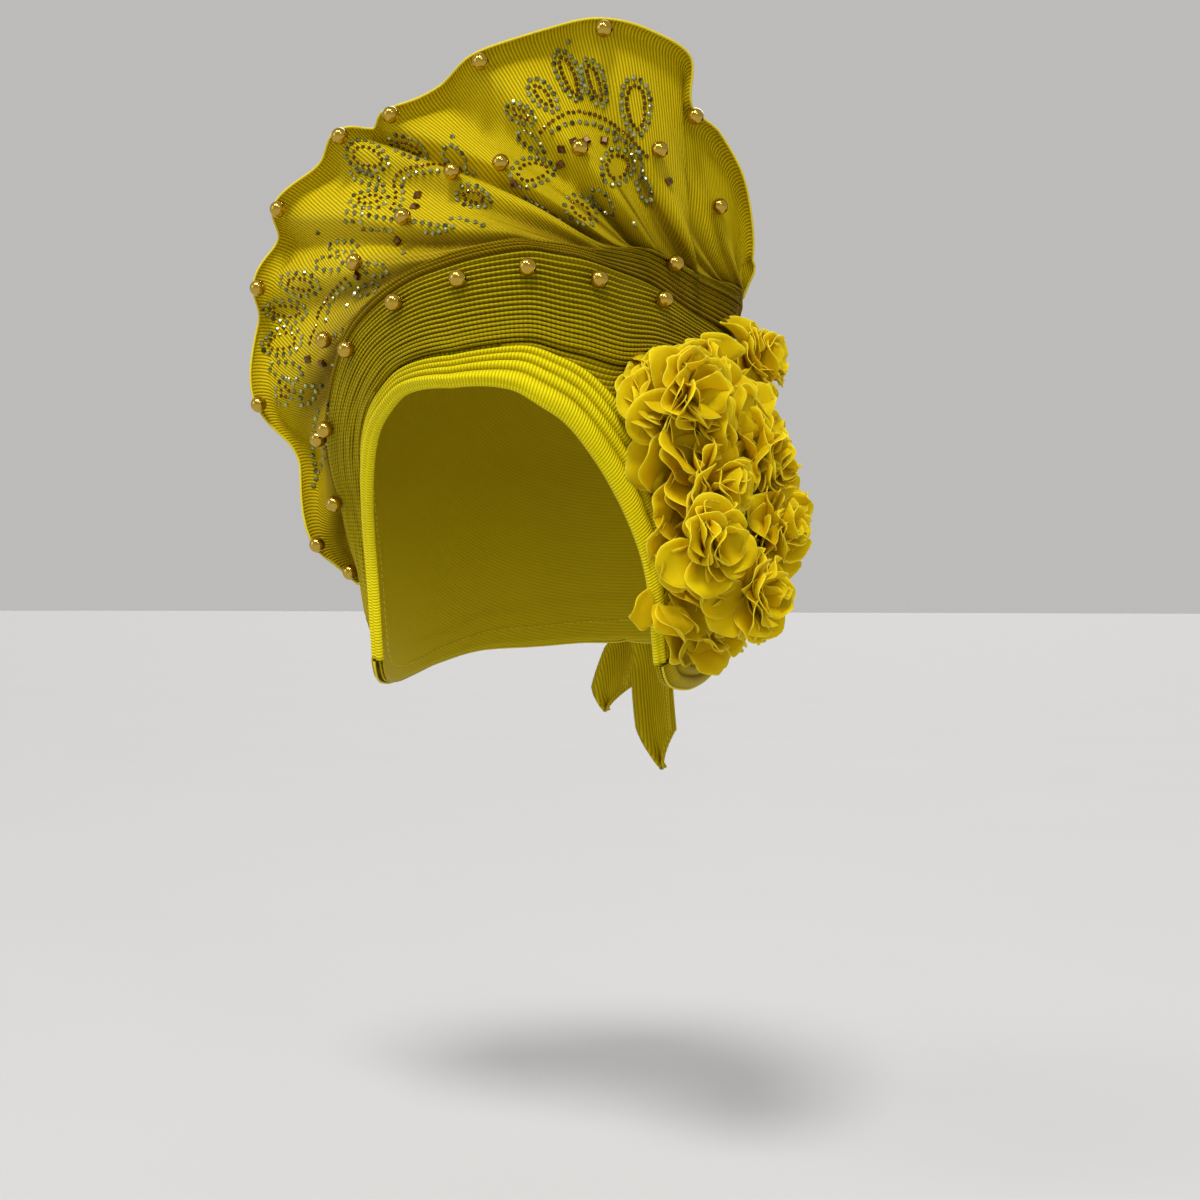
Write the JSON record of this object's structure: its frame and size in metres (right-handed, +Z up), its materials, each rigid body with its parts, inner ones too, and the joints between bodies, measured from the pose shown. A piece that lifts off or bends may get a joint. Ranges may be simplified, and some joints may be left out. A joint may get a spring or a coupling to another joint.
{
  "type": "gele head tie",
  "caption": "Ready-tied gele head tie: close cap, wraps round the face, pleated ring and tall pleated fan with beads and a side cluster of cloth flowers.",
  "frame": {"origin": "centre of the wearer's head girth just above the brows, inside the cap", "axes": "+Z up, the wearer faces -Y, the wearer's left is +X"},
  "size_m": [0.2727, 0.2303, 0.3575],
  "materials": {
    "gele_cloth": "fine-ribbed satin-faced cloth, lemon to golden yellow, soft sheen",
    "chiffon": "thin translucent chiffon petals, golden yellow, paler cut edges",
    "net": "yellow net, matt",
    "gold_bead": "mirror-polished gold plating",
    "crystal": "small foil-backed rhinestones, green-grey, faceted",
    "topaz": "square faceted brown glass stones"
  },
  "bodies": {
    "root": {"bead_edge_1": "gold_bead", "bead_edge_2": "gold_bead", "bead_edge_3": "gold_bead", "bead_edge_4": "gold_bead", "bead_edge_5": "gold_bead", "bead_edge_6": "gold_bead", "bead_edge_7": "gold_bead", "bead_edge_8": "gold_bead", "bead_edge_9": "gold_bead", "bead_fan_1": "gold_bead", "bead_fan_10": "gold_bead", "bead_fan_2": "gold_bead", "bead_fan_3": "gold_bead", "bead_fan_4": "gold_bead", "bead_fan_5": "gold_bead", "bead_fan_6": "gold_bead", "bead_fan_7": "gold_bead", "bead_fan_8": "gold_bead", "bead_fan_9": "gold_bead", "bead_ring_1": "gold_bead", "bead_ring_2": "gold_bead", "bead_ring_3": "gold_bead", "bead_ring_4": "gold_bead", "bead_ring_5": "gold_bead", "bead_ring_6": "gold_bead", "bead_ring_7": "gold_bead", "bead_ring_8": "gold_bead", "bead_ring_9": "gold_bead", "brow_band": "gele_cloth", "crown_cap": "gele_cloth", "fan": "gele_cloth", "flower_1": "chiffon", "flower_10": "chiffon", "flower_2": "chiffon", "flower_3": "chiffon", "flower_4": "chiffon", "flower_5": "chiffon", "flower_6": "chiffon", "flower_7": "chiffon", "flower_8": "chiffon", "flower_9": "chiffon", "flower_base": "net", "nape_band": "gele_cloth", "pleat_ring": "gele_cloth", "tie_knot": "gele_cloth", "tie_tail_long": "gele_cloth", "tie_tail_short": "gele_cloth"}
  },
  "joints": []
}
